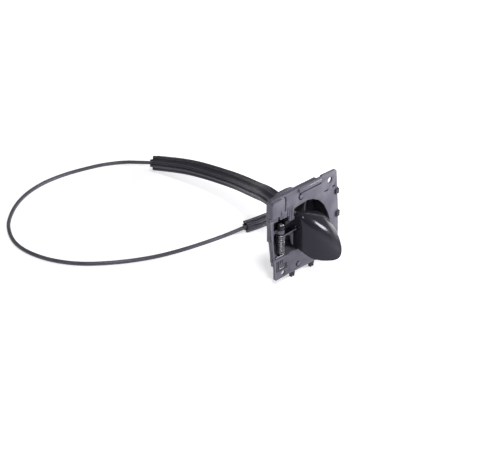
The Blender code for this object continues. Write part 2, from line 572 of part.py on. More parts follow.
# Finger bowl behind the opening
BOWL_DEPTH = 28.0
bowl_outer = rounded([(47.0, 30.0, 9.0), (90.0, 30.0, 9.0), (90.0, 91.0, 14.0), (47.0, 91.0, 9.0)])
bowl_inner = rounded([(49.0, 32.0, 7.0), (88.0, 32.0, 7.0), (88.0, 89.0, 12.0), (49.0, 89.0, 7.0)])
FLANGE_FRONT = SKIN + GAP
finger_bowl = slab("finger_bowl", [bowl_outer], (FLANGE_FRONT, BOWL_DEPTH), is_part=True)
bowl_hollow = slab("bowl_hollow", [bowl_inner], (0.0, BOWL_DEPTH - 2.0))
tab_top = slab("tab_top", [rounded([(33.8, 93.0, 3.0), (60.0, 88.0, 0.0), (60.0, 101.6, 3.0),
                                    (33.8, 101.6, 3.0)])], (FLANGE_FRONT + 0.01, FLANGE_FRONT + 2.5))
tab_low = slab("tab_low", [rounded([(32.8, 11.2, 2.0), (44.0, 11.2, 3.0), (54.0, 15.0, 3.0), (54.0, 33.0, 0.0),
                                    (49.2, 33.0, 0.0), (32.8, 18.6, 3.0)])],
               (FLANGE_FRONT + 0.01, FLANGE_FRONT + 2.5))
posts = [rod(name, (at[0], -0.4, at[1]), (at[0], FLANGE_FRONT + 1.0, at[1]), POST_R)
         for name, at in (("post_top", POST_TOP), ("post_low", POST_LOW))]
combine(finger_bowl, [tab_top, tab_low] + posts, "UNION")
combine(finger_bowl, [bowl_hollow], "DIFFERENCE")
finger_bowl.data.materials.append(bowl_black)

# Buffer the lever closes on
rest_buffer = rod("rest_buffer", (BUFFER_AT[0], LINK_BACK + GAP, BUFFER_AT[1]), (BUFFER_AT[0], 16.0 - GAP, BUFFER_AT[1]),
                  3.0, is_part=True)
buffer_stem = rod("buffer_stem", (BUFFER_AT[0], 15.2, BUFFER_AT[1]), (BUFFER_AT[0], 19.4, BUFFER_AT[1]), 1.5)
combine(rest_buffer, [buffer_stem], "UNION")
rest_buffer.data.materials.append(buffer_rubber)

# Cable end in the bracket: distances from the nipple's centre
SEAT_T = (seat - nipple_centre).length
NECK_HALF = 2.7
FIT_END = SEAT_T + 18.5


def fitting_profile(nose, first, second, end):
    return [(FIT_BODY_R, end), (FIT_BODY_R, second + 1.5), (FIT_FLANGE_R, second + 1.5), (FIT_FLANGE_R, second),
            (FIT_NECK_R, second), (FIT_NECK_R, first), (FIT_FLANGE_R, first), (FIT_FLANGE_R, first - 1.4),
            (FIT_NECK_R, first - 1.4), (FIT_NECK_R, nose), (FIT_BORE_R, nose), (FIT_BORE_R, end)]


handle_end_fitting = turned("handle_end_fitting",
                            fitting_profile(SEAT_T - 7.0, SEAT_T - NECK_HALF - 0.7, SEAT_T + NECK_HALF + 0.7, FIT_END),
                            nipple_centre, pull)
handle_end_fitting.data.materials.append(matt_black)
handle_inner_wire = rod("handle_inner_wire", along(NIPPLE_R + GAP), along(FIT_END - GAP), WIRE_R, 12, True)
handle_inner_wire.data.materials.append(wire_steel)
handle_nipple = rod("handle_nipple", (*NIPPLE_AT, CHEEK_LOW[0] - 0.2), (*NIPPLE_AT, CHEEK_HIGH[1] + 0.2), NIPPLE_R,
                    is_part=True)
handle_nipple.data.materials.append(zinc)

# Cable's way from the bracket round to its free end
FLOOR_Z = CONDUIT_R + 0.04
conduit_start = along(FIT_END + GAP)
LATCH_START = (140.0, 101.0, 5.0)
LATCH_HEADING = Vector((1.0, -0.09, 0.0)).normalized()
route = [tuple(conduit_start), tuple(along(FIT_END + 7.0)), (57.0, 72.0, 69.0), (66.0, 89.0, 61.5),
         (79.0, 118.0, 52.5), (89.5, 145.0, 45.0), (95.0, 167.0, 40.0), (97.5, 187.0, 36.5),
         (99.0, 207.0, 33.5), (99.5, 225.0, 31.0), (99.5, 243.0, 28.0), (99.6, 261.0, 24.0),
         (99.8, 284.0, 18.0), (99.0, 311.0, 11.0), (93.5, 332.0, 6.5), (83.0, 352.0, 3.6),
         (67.0, 365.0, FLOOR_Z), (48.0, 372.5, FLOOR_Z), (15.0, 380.0, FLOOR_Z), (-14.0, 382.0, FLOOR_Z),
         (-39.0, 379.0, FLOOR_Z), (-66.0, 370.0, FLOOR_Z), (-94.0, 353.0, FLOOR_Z), (-121.0, 328.0, FLOOR_Z),
         (-137.0, 304.0, FLOOR_Z), (-146.5, 280.0, FLOOR_Z), (-149.0, 255.0, FLOOR_Z),
         (-144.5, 228.0, FLOOR_Z), (-134.0, 204.0, FLOOR_Z), (-119.0, 184.0, FLOOR_Z),
         (-98.0, 166.0, FLOOR_Z), (-74.0, 150.5, FLOOR_Z), (-47.0, 138.0, FLOOR_Z), (-16.0, 129.0, FLOOR_Z),
         (11.0, 123.5, FLOOR_Z), (34.0, 119.5, 2.6), (50.0, 115.0, 4.6), (64.0, 110.5, 7.2),
         (79.0, 107.5, SHORT_SLEEVE_R + 0.05), (93.0, 106.0, SHORT_SLEEVE_R + 0.05),
         (107.0, 104.5, SHORT_SLEEVE_R + 0.05), (120.0, 103.2, 7.3),
         tuple(Vector(LATCH_START) - LATCH_HEADING * 8.0), LATCH_START]
cable = smooth_route(route, 12.0)
cable_conduit = wire("cable_conduit", cable, CONDUIT_R, True, 2)
cable_conduit.data.materials.append(conduit_black)

fine_cable = smooth_route([tuple(along(SEAT_T + 4.6))] + route, 6.0)


def sleeve(name, path, radius):
    section = fluted_ring(name + "_section", radius, FLUTES, FLUTE_DEPTH)
    body = tube_mesh(name, path, radius, 2, True, section)
    bpy.data.objects.remove(section, do_unlink=True)
    first = path[0] + (path[0] - path[1]).normalized() * 2.0
    last = path[-1] + (path[-1] - path[-2]).normalized() * 2.0
    bore = tube_mesh(name + "_bore", [first] + path[1:-1] + [last], SLEEVE_BORE_R, 2)
    combine(body, [bore], "DIFFERENCE")
    return body


LONG_SLEEVE_END = Vector((99.0, 311.0, 11.0))
LONG_SLEEVE_START = along(SEAT_T + 5.4)
long_stop = min(range(len(fine_cable)), key=lambda i: (fine_cable[i] - LONG_SLEEVE_END).length)
long_path = [LONG_SLEEVE_START] + fine_cable[3:long_stop + 1:3]
long_sleeve = sleeve("long_sleeve", long_path, LONG_SLEEVE_R)
long_sleeve.data.materials.append(rubber)
SHORT_SLEEVE_FROM = Vector((65.5, 110.0, 7.5))
SHORT_SLEEVE_TO = Vector((120.0, 103.2, 7.3))
short_a = min(range(len(fine_cable)), key=lambda i: (fine_cable[i] - SHORT_SLEEVE_FROM).length)
short_b = min(range(len(fine_cable)), key=lambda i: (fine_cable[i] - SHORT_SLEEVE_TO).length)
short_path = [Vector((p.x, p.y, SHORT_SLEEVE_R + 0.05)) for p in fine_cable[short_a:short_b + 1:2]]
short_sleeve = sleeve("short_sleeve", short_path, SHORT_SLEEVE_R)
short_sleeve.data.materials.append(rubber)

# Free end, with room for the wire to draw in
LATCH_FIT_LONG = 27.0
LATCH_WIRE_IN = 13.4
LATCH_WIRE_OUT = 19.0
latch_face = Vector(LATCH_START) + LATCH_HEADING * GAP
latch_end_fitting = turned("latch_end_fitting",
                           [(2.4, LATCH_FIT_LONG), (2.4, 21.0), (FIT_FLANGE_R, 21.0), (FIT_FLANGE_R, 19.6),
                            (FIT_NECK_R, 19.6), (FIT_NECK_R, 16.0), (FIT_FLANGE_R, 16.0),
                            (FIT_FLANGE_R, 14.5), (FIT_BODY_R, 14.5), (FIT_BODY_R, 0.0),
                            (FIT_BORE_R, 0.0), (FIT_BORE_R, LATCH_FIT_LONG)],
                           latch_face, LATCH_HEADING)
latch_end_fitting.data.materials.append(matt_black)
wire_in = latch_face + LATCH_HEADING * LATCH_WIRE_IN
wire_out = latch_face + LATCH_HEADING * (LATCH_FIT_LONG + LATCH_WIRE_OUT)
latch_inner_wire = rod("latch_inner_wire", wire_in, wire_out, WIRE_R, 12, True)
latch_inner_wire.data.materials.append(wire_steel)
latch_end = wire_out + LATCH_HEADING * (NIPPLE_R + GAP)
latch_nipple = rod("latch_nipple", latch_end - Vector((0, 0, 3.5)), latch_end + Vector((0, 0, 3.5)), NIPPLE_R,
                   is_part=True)
latch_nipple.data.materials.append(zinc)


def set_origin(obj, point):
    """Move the object's own origin to a point without moving its shape."""
    shift = Vector(point) * MM
    obj.data.transform(Matrix.Translation(-shift))
    obj.location = shift


set_origin(lever, (AXIS_X, AXIS_Y, 0.0))
set_origin(handle_nipple, (AXIS_X, AXIS_Y, 0.0))
set_origin(handle_inner_wire, tuple(nipple_centre))
set_origin(latch_inner_wire, tuple(wire_in))
set_origin(latch_nipple, tuple(wire_in))

for obj in list(parts.objects) + list(cutters.objects):
    obj.location -= Vector(ORIGIN) * MM
for obj in parts.objects:
    if obj.type == "MESH" and len(obj.data.polygons):
        obj.data.shade_smooth()
        obj.data.set_sharp_from_angle(angle=math.radians(35))
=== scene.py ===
"""Door release handle for a vehicle, with its release cable, dressed for a studio picture."""
import math

import bpy
from bpy.props import FloatProperty, FloatVectorProperty, IntProperty, PointerProperty
from mathutils import Matrix, Vector


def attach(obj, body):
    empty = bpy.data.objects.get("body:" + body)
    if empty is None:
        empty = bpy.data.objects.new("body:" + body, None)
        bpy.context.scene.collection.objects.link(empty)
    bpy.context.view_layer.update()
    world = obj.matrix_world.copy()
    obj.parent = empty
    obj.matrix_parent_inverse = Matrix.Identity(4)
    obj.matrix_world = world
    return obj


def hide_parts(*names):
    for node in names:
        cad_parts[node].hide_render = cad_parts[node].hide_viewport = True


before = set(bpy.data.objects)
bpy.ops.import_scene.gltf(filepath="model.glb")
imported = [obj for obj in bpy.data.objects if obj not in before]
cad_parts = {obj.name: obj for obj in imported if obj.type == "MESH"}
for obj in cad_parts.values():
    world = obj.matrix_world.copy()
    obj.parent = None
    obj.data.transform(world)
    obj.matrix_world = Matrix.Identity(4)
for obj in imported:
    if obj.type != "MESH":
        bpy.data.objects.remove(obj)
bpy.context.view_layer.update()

bl_info = {
    "name": "Door Release Handle",
    "version": (1, 0, 0),
    "blender": (4, 5, 0),
    "location": "View3D > Sidebar > Handle",
    "description": "Dresses a sprung door release handle and its cable",
    "category": "Add Mesh",
}

MM = 0.001
# The plate's lower left corner, from which all sizes in millimetres are measured
CORNER = Vector((-47.0, 0.5, 0.0))
# X and Y of the hinge pin
AXIS = (13.5, 6.0)
SMOOTH_ANGLE = math.radians(40)
# Distance within which a solid's loose corners join, and angle within which faces count as flat
JOIN_WITHIN = 0.000002
FLAT_WITHIN = math.radians(1.0)
RING_STEPS = 22


def place(x, y, z):
    """Point in metres, from millimetres off the plate's corner."""
    return (Vector((x, y, z)) + CORNER) * MM


class CableSizes(bpy.types.PropertyGroup):
    """Sizes of the release cable"""

    conduit: FloatProperty(name="Conduit", description="Outer diameter of the conduit",
                           default=0.0047, unit="LENGTH")
    long_sleeve: FloatProperty(name="Long sleeve", description="Outer diameter of the long sleeve",
                               default=0.0200, unit="LENGTH")
    short_sleeve: FloatProperty(name="Short sleeve", description="Outer diameter of the short sleeve",
                                default=0.0154, unit="LENGTH")
    bore: FloatProperty(name="Sleeve bore", description="Bore of both sleeves",
                        default=0.0092, unit="LENGTH")
    flutes: IntProperty(name="Flutes", description="Lengthwise flutes round a sleeve", default=8)
    flute_depth: FloatProperty(name="Flute depth", description="Depth of a flute",
                               default=0.0024, unit="LENGTH")


class HandleSizes(bpy.types.PropertyGroup):
    """Sizes of the handle's own pieces"""

    plate_edge: FloatProperty(name="Plate edge", description="Rounding of the plate's edges",
                              default=0.0004, unit="LENGTH")
    lever_wall: FloatProperty(name="Lever wall", description="Thickness of the scoop's wall",
                              default=0.0024, unit="LENGTH")
    lever_edge: FloatProperty(name="Lever edge", description="Rounding of the scoop's rim",
                              default=0.0008, unit="LENGTH")
    spring_wire: FloatProperty(name="Spring wire", description="Diameter of the spring's wire",
                               default=0.0018, unit="LENGTH")
    spring_coils: IntProperty(name="Spring coils", description="Turns of the spring", default=10)


class Finishes(bpy.types.PropertyGroup):
    """Colours of the handle's finishes"""

    plate: FloatVectorProperty(name="Plate", description="Satin plastic of the plate", subtype="COLOR",
                               default=(0.130, 0.125, 0.157))
    lever: FloatVectorProperty(name="Lever", description="Gloss plastic of the lever", subtype="COLOR",
                               default=(0.019, 0.018, 0.024))
    bowl: FloatVectorProperty(name="Bowl", description="Grained plastic of the finger bowl",
                              subtype="COLOR", default=(0.058, 0.056, 0.068))
    trim: FloatVectorProperty(name="Trim", description="Matt plastic of the clips", subtype="COLOR",
                              default=(0.026, 0.026, 0.031))
    rubber: FloatVectorProperty(name="Rubber", description="Rubber of the sleeves", subtype="COLOR",
                                default=(0.030, 0.029, 0.038))
    conduit: FloatVectorProperty(name="Conduit", description="Plastic of the conduit", subtype="COLOR",
                                 default=(0.100, 0.097, 0.117))
    steel: FloatVectorProperty(name="Steel", description="Bright steel of the inner wires", subtype="COLOR",
                               default=(0.60, 0.60, 0.62))
    spring: FloatVectorProperty(name="Spring", description="Oiled steel of the spring", subtype="COLOR",
                                default=(0.26, 0.26, 0.28))
    pin: FloatVectorProperty(name="Pin", description="Dark steel of the hinge pin", subtype="COLOR",
                             default=(0.16, 0.16, 0.17))
    zinc: FloatVectorProperty(name="Zinc", description="Cast zinc of the nipples", subtype="COLOR",
                              default=(0.45, 0.45, 0.47))
    tint: FloatVectorProperty(name="Gleam", description="Colour of the plastics' gleam", subtype="COLOR",
                              default=(0.86, 0.83, 1.0))
    buffer: FloatVectorProperty(name="Buffer", description="Rubber of the rest buffer", subtype="COLOR",
                                default=(0.02, 0.02, 0.02))
    floor: FloatVectorProperty(name="Floor", description="Pale studio floor", subtype="COLOR",
                               default=(0.86, 0.845, 0.875))


class StageSetup(bpy.types.PropertyGroup):
    """Camera and light"""

    camera_at: FloatVectorProperty(name="Camera", description="Place of the camera", subtype="XYZ",
                                   default=(-0.9067, -0.8040, 0.7213), unit="LENGTH")
    azimuth: FloatProperty(name="Azimuth", description="Camera's heading in degrees", default=-45.0)
    elevation: FloatProperty(name="Elevation", description="Camera's height angle in degrees",
                             default=29.0)
    lens: FloatProperty(name="Lens", description="Focal length in millimetres", default=93.75)
    key_power: FloatProperty(name="Key", description="Power of the key light", default=10.0)
    side_power: FloatProperty(name="Side", description="Power of the light at the right", default=5.0)
    fill_power: FloatProperty(name="Fill", description="Power of the overhead light", default=3.0)
    sky: FloatProperty(name="Sky", description="Strength of the even light all round", default=0.18)
    # The floor's glow is painted light: weaker beside the object so its cast shadow shows, stronger far off
    # in place of the lamps' light that falls away there
    near_glow: FloatProperty(name="Near white", description="White the floor adds beside the object",
                              default=0.56)
    far_glow: FloatProperty(name="Backdrop", description="White the floor adds far from the object",
                            default=1.0)


def sizes():
    return bpy.context.scene.handle_sizes


def cable_sizes():
    return bpy.context.scene.handle_cable


def finishes():
    return bpy.context.scene.handle_finishes


def clear_selection():
    if bpy.context.object and bpy.context.object.mode != "OBJECT":
        bpy.ops.object.mode_set(mode="OBJECT")
    bpy.ops.object.select_all(action="DESELECT")


def activate(obj):
    clear_selection()
    obj.select_set(True)
    bpy.context.view_layer.objects.active = obj
    return obj


def apply_modifiers(obj):
    activate(obj)
    for mod in list(obj.modifiers):
        bpy.ops.object.modifier_apply(modifier=mod.name)
    return obj


def settle(obj):
    """Place, turn and scale go into the mesh."""
    activate(obj)
    bpy.ops.object.transform_apply(location=True, rotation=True, scale=True)
    return obj


def block(name, low, high):
    clear_selection()
    low = place(*low)
    high = place(*high)
    bpy.ops.mesh.primitive_cube_add(size=1.0, location=(low + high) / 2, scale=high - low)
    obj = bpy.context.object
    obj.name = name
    return settle(obj)


def prism(name, outline, depth):
    """Solid with an outline in X and Z, through `depth` in Y."""
    clear_selection()
    bpy.ops.mesh.primitive_circle_add(vertices=len(outline), radius=MM, fill_type="NGON")
    obj = bpy.context.object
    obj.name = name
    for vertex, (x, z) in zip(obj.data.vertices, outline):
        vertex.co = place(x, depth[0], z)
    bpy.ops.object.mode_set(mode="EDIT")
    bpy.ops.mesh.select_all(action="SELECT")
    bpy.ops.mesh.extrude_region_move(
        TRANSFORM_OT_translate={"value": (0.0, (depth[1] - depth[0]) * MM, 0.0)})
    bpy.ops.mesh.select_all(action="SELECT")
    bpy.ops.mesh.normals_make_consistent(inside=False)
    bpy.ops.object.mode_set(mode="OBJECT")
    return settle(obj)


def open_ring(name, centre, inner, outer, start, end, depth):
    """Part of a ring groove from angle `start` to `end` in degrees."""
    x, z = centre
    angles = [math.radians(start + (end - start) * k / RING_STEPS) for k in range(RING_STEPS + 1)]
    outline = [(x + outer * math.cos(a), z + outer * math.sin(a)) for a in angles]
    outline += [(x + inner * math.cos(a), z + inner * math.sin(a)) for a in reversed(angles)]
    return prism(name, outline, depth)


def combine(obj, tool, operation):
    mod = obj.modifiers.new("Cut", "BOOLEAN")
    mod.operation = operation
    mod.solver = "EXACT"
    mod.object = tool
    apply_modifiers(obj)
    bpy.data.objects.remove(tool, do_unlink=True)
    return obj


def cut(obj, *tools):
    for tool in tools:
        combine(obj, tool, "DIFFERENCE")
    return obj


def add(obj, *tools):
    for tool in tools:
        combine(obj, tool, "UNION")
    return obj


def round_edges(obj, width, segments=2, angle=35):
    mod = obj.modifiers.new("Rounding", "BEVEL")
    mod.width = width
    mod.segments = segments
    mod.limit_method = "ANGLE"
    mod.angle_limit = math.radians(angle)
    mod.miter_outer = "MITER_ARC"
    mod.use_clamp_overlap = True
    apply_modifiers(obj)
    activate(obj)
    bpy.ops.object.shade_smooth_by_angle(angle=SMOOTH_ANGLE)
    return obj


def copy_of_node(node, name):
    """Own copy of a node's solid, with its loose triangles joined and flat faces made whole."""
    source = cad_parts[node]
    obj = source.copy()
    obj.data = source.data.copy()
    obj.name = name
    for key in list(obj.keys()):
        del obj[key]
    bpy.context.scene.collection.objects.link(obj)
    obj.parent = None
    activate(obj)
    obj.data.materials.clear()
    bpy.ops.object.mode_set(mode="EDIT")
    bpy.ops.mesh.select_all(action="SELECT")
    bpy.ops.mesh.remove_doubles(threshold=JOIN_WITHIN)
    bpy.ops.mesh.dissolve_limited(angle_limit=FLAT_WITHIN)
    bpy.ops.object.mode_set(mode="OBJECT")
    return obj


def finish_piece(obj, body, material, *nodes):
    obj.data.materials.clear()
    obj.data.materials.append(material)
    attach(obj, body)
    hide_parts(*nodes)
    return obj


# Materials

# Parts of the noise over which a colour blends and a roughness spreads
BLEND_SPAN = (0.35, 0.65)
SPREAD_SPAN = (0.3, 0.7)
# Noise scales of moulded plastic: mottle, sheen and grain
MOULD_MOTTLE = 45.0
MOULD_SHEEN = 110.0
MOULD_GRAIN = 1900.0
# Darkest and lightest shade of moulded plastic, and how far its roughness spreads
MOULD_SHADES = (0.86, 1.14)
MOULD_SPREAD = (-0.06, 0.08)


def shader(name, colour, rough, metal=0.0, sheen=0.5):
    mat = bpy.data.materials.new(name)
    mat.use_nodes = True
    tree = mat.node_tree
    bsdf = tree.nodes["Principled BSDF"]
    bsdf.inputs["Base Color"].default_value = (*colour, 1.0)
    bsdf.inputs["Roughness"].default_value = rough
    bsdf.inputs["Metallic"].default_value = metal
    bsdf.inputs["Specular IOR Level"].default_value = sheen
    if not metal:
        bsdf.inputs["Specular Tint"].default_value = (*finishes().tint, 1.0)
    return mat, tree, bsdf


def object_noise(tree, scale, detail=4.0):
    coords = tree.nodes.new("ShaderNodeTexCoord")
    noise = tree.nodes.new("ShaderNodeTexNoise")
    noise.inputs["Scale"].default_value = scale
    noise.inputs["Detail"].default_value = detail
    tree.links.new(coords.outputs["Object"], noise.inputs["Vector"])
    return noise


def blend_colour(tree, bsdf, noise, low, high):
    ramp = tree.nodes.new("ShaderNodeValToRGB")
    for element, position, colour in zip(ramp.color_ramp.elements, BLEND_SPAN, (low, high)):
        element.position = position
        element.color = (*colour, 1.0)
    tree.links.new(noise.outputs["Fac"], ramp.inputs["Fac"])
    tree.links.new(ramp.outputs["Color"], bsdf.inputs["Base Color"])


def vary_roughness(tree, bsdf, noise, low, high):
    spread = tree.nodes.new("ShaderNodeMapRange")
    spread.inputs["From Min"].default_value = SPREAD_SPAN[0]
    spread.inputs["From Max"].default_value = SPREAD_SPAN[1]
    spread.inputs["To Min"].default_value = low
    spread.inputs["To Max"].default_value = high
    tree.links.new(noise.outputs["Fac"], spread.inputs["Value"])
    tree.links.new(spread.outputs["Result"], bsdf.inputs["Roughness"])


def grain(tree, bsdf, noise, strength, distance):
    bump = tree.nodes.new("ShaderNodeBump")
    bump.inputs["Strength"].default_value = strength
    bump.inputs["Distance"].default_value = distance
    tree.links.new(noise.outputs["Fac"], bump.inputs["Height"])
    tree.links.new(bump.outputs["Normal"], bsdf.inputs["Normal"])


def shade(colour, factor):
    return tuple(min(1.0, c * factor) for c in colour)


def moulded_plastic(name, colour, rough, fine, sheen=0.5):
    mat, tree, bsdf = shader(name, colour, rough, sheen=sheen)
    dark, light = (shade(colour, factor) for factor in MOULD_SHADES)
    smooth, dull = (rough + change for change in MOULD_SPREAD)
    blend_colour(tree, bsdf, object_noise(tree, MOULD_MOTTLE), dark, light)
    vary_roughness(tree, bsdf, object_noise(tree, MOULD_SHEEN), smooth, dull)
    grain(tree, bsdf, object_noise(tree, MOULD_GRAIN, detail=2.0), strength=fine, distance=0.0002)
    return mat


def plate_plastic():
    return moulded_plastic("satin_plate_plastic", finishes().plate, rough=0.40, fine=0.2)


def lever_plastic():
    colour = finishes().lever
    mat, tree, bsdf = shader("gloss_lever_plastic", colour, rough=0.18, sheen=0.30)
    vary_roughness(tree, bsdf, object_noise(tree, 60.0), low=0.15, high=0.22)
    grain(tree, bsdf, object_noise(tree, 1400.0, detail=2.0), strength=0.06, distance=0.0001)
    return mat


def trim_plastic():
    return moulded_plastic("matt_trim_plastic", finishes().trim, rough=0.52, fine=0.25)


def bowl_plastic():
    return moulded_plastic("grained_bowl_plastic", finishes().bowl, rough=0.70, fine=0.6, sheen=0.2)


def sleeve_rubber():
    colour = finishes().rubber
    mat, tree, bsdf = shader("fluted_sleeve_rubber", colour, rough=0.44, sheen=0.6)
    blend_colour(tree, bsdf, object_noise(tree, 25.0), shade(colour, 0.8), shade(colour, 1.3))
    vary_roughness(tree, bsdf, object_noise(tree, 160.0), low=0.38, high=0.52)
    grain(tree, bsdf, object_noise(tree, 900.0, detail=3.0), strength=0.25, distance=0.0003)
    return mat


def conduit_plastic():
    return moulded_plastic("conduit_plastic", finishes().conduit, rough=0.36, fine=0.1)


def bright_steel():
    colour = finishes().steel
    mat, tree, bsdf = shader("bright_steel", colour, rough=0.26, metal=1.0)
    blend_colour(tree, bsdf, object_noise(tree, 300.0), shade(colour, 0.8), shade(colour, 1.15))
    vary_roughness(tree, bsdf, object_noise(tree, 700.0), low=0.20, high=0.38)
    return mat


def dark_steel(name, colour):
    mat, tree, bsdf = shader(name, colour, rough=0.3, metal=1.0)
    blend_colour(tree, bsdf, object_noise(tree, 420.0), shade(colour, 0.75), shade(colour, 1.25))
    vary_roughness(tree, bsdf, object_noise(tree, 900.0), low=0.24, high=0.4)
    return mat


def cast_zinc():
    colour = finishes().zinc
    mat, tree, bsdf = shader("cast_zinc", colour, rough=0.42, metal=1.0)
    blend_colour(tree, bsdf, object_noise(tree, 400.0), shade(colour, 0.75), shade(colour, 1.1))
    vary_roughness(tree, bsdf, object_noise(tree, 500.0), low=0.35, high=0.55)
    grain(tree, bsdf, object_noise(tree, 1200.0), strength=0.3, distance=0.0002)
    return mat


def buffer_rubber():
    return moulded_plastic("buffer_rubber", finishes().buffer, rough=0.7, fine=0.4)


# Cable route, the same as the solids follow

# Direction in which the cable leaves the handle
HEADING = math.radians(17.5)
PULL = Vector((math.sin(HEADING), math.cos(HEADING), 0.0))
NIPPLE = Vector((33.5, AXIS[1], 73.5))
# Along the pull from the nipple, the bracket's seat and the end of the fitting in it
SEAT = (32.5 - AXIS[1]) / PULL.y
FIT_END = SEAT + 18.5
CONDUIT_START = NIPPLE + PULL * (FIT_END + 0.3)
FLOOR_Z = 2.39
LATCH_START = Vector((140.0, 101.0, 5.0))
LATCH_HEADING = Vector((1.0, -0.09, 0.0)).normalized()
ROUTE = [
    CONDUIT_START, NIPPLE + PULL * (FIT_END + 7.0), (57.0, 72.0, 69.0), (66.0, 89.0, 61.5),
    (79.0, 118.0, 52.5), (89.5, 145.0, 45.0), (95.0, 167.0, 40.0), (97.5, 187.0, 36.5),
    (99.0, 207.0, 33.5), (99.5, 225.0, 31.0), (99.5, 243.0, 28.0), (99.6, 261.0, 24.0),
    (99.8, 284.0, 18.0), (99.0, 311.0, 11.0), (93.5, 332.0, 6.5), (83.0, 352.0, 3.6),
    (67.0, 365.0, FLOOR_Z), (48.0, 372.5, FLOOR_Z), (15.0, 380.0, FLOOR_Z), (-14.0, 382.0, FLOOR_Z),
    (-39.0, 379.0, FLOOR_Z), (-66.0, 370.0, FLOOR_Z), (-94.0, 353.0, FLOOR_Z), (-121.0, 328.0, FLOOR_Z),
    (-137.0, 304.0, FLOOR_Z), (-146.5, 280.0, FLOOR_Z), (-149.0, 255.0, FLOOR_Z),
    (-144.5, 228.0, FLOOR_Z), (-134.0, 204.0, FLOOR_Z), (-119.0, 184.0, FLOOR_Z),
    (-98.0, 166.0, FLOOR_Z), (-74.0, 150.5, FLOOR_Z), (-47.0, 138.0, FLOOR_Z), (-16.0, 129.0, FLOOR_Z),
    (11.0, 123.5, FLOOR_Z), (34.0, 119.5, 2.6), (50.0, 115.0, 4.6), (64.0, 110.5, 7.2),
    (79.0, 107.5, 7.75), (93.0, 106.0, 7.75), (107.0, 104.5, 7.75), (120.0, 103.2, 7.3),
    LATCH_START - LATCH_HEADING * 8.0, LATCH_START,
]
# Spacing of the conduit's points, of the sleeves' points, and of the fine ones between which both lie
CONDUIT_STEP = 5.0
SLEEVE_STEP = 4.0
FINE_STEP = 0.5
# The long sleeve runs from inside the bracket's seat to a point of the route, evened out
GUIDE_START = NIPPLE + PULL * (SEAT + 4.6)
LONG_SLEEVE_START = NIPPLE + PULL * (SEAT + 5.4)
LONG_SLEEVE_END = (99.0, 311.0, 11.0)
EVEN_ROUNDS = 24
SHORT_SLEEVE_ENDS = ((65.5, 110.0, 7.5), (120.0, 103.2, 7.3))
SHORT_SLEEVE_Z = 7.75
# Section of a flute: points, deepest share of the radius, and turn, steepness and lean of its wave
FLUTE_POINTS = 14
FLUTE_SHARE = 0.26
FLUTE_TURN = 0.21
FLUTE_STEEP = 1.9
FLUTE_LEAN = 0.25
# In metres: the bore past a sleeve's ends, the joining of its corners, and a fitting's rounding
BORE_OVERRUN = 0.002
CURVE_JOIN = 0.00001
FITTING_EDGE = 0.0003


def smooth_route(through, spacing):
    """Points about `spacing` apart on one smooth curve through the given ones."""
    pts = [Vector(p) for p in through]
    pts = [pts[0] * 2 - pts[1]] + pts + [pts[-1] * 2 - pts[-2]]
    fine = []
    for a, b, c, d in zip(pts, pts[1:], pts[2:], pts[3:]):
        steps = max(8, int((c - b).length / FINE_STEP))
        for k in range(steps):
            u = k / steps
            fine.append(0.5 * ((2 * b) + (c - a) * u + (2 * a - 5 * b + 4 * c - d) * u * u
                               + (3 * b - 3 * c + d - a) * u ** 3))
    fine.append(pts[-2])
    lengths = [0.0]
    for a, b in zip(fine, fine[1:]):
        lengths.append(lengths[-1] + (b - a).length)
    count = max(2, round(lengths[-1] / spacing))
    out = []
    j = 0
    for k in range(count + 1):
        want = lengths[-1] * k / count
        while j < len(fine) - 2 and lengths[j + 1] < want:
            j += 1
        share = (want - lengths[j]) / max(lengths[j + 1] - lengths[j], 1e-9)
        out.append(fine[j].lerp(fine[j + 1], share))
    return out


def relaxed(points, rounds):
    """The same route with its small bends evened out, its two end stretches kept."""
    for _ in range(rounds):
        inner = [(a + b * 2 + c) / 4 for a, b, c in zip(points[1:], points[2:], points[3:])]
        points = points[:2] + inner + points[-1:]
    return points


def line_curve(name, points, radius, resolution=4, cyclic=False, profile=None):
    data = bpy.data.curves.new(name, "CURVE")
    data.dimensions = "3D"
    spline = data.splines.new("POLY")
    spline.points.add(len(points) - 1)
    for point, co in zip(spline.points, points):
        point.co = (*co, 1.0)
    spline.use_cyclic_u = cyclic
    if profile:
        data.bevel_mode = "OBJECT"
        data.bevel_object = profile
    elif radius:
        data.bevel_depth = radius
        data.bevel_resolution = resolution
    data.use_fill_caps = bool(radius)
    data.render_resolution_u = 0
    obj = bpy.data.objects.new(name, data)
    bpy.context.scene.collection.objects.link(obj)
    return obj


def nearest(points, target):
    return min(range(len(points)), key=lambda i: (points[i] - Vector(target)).length)


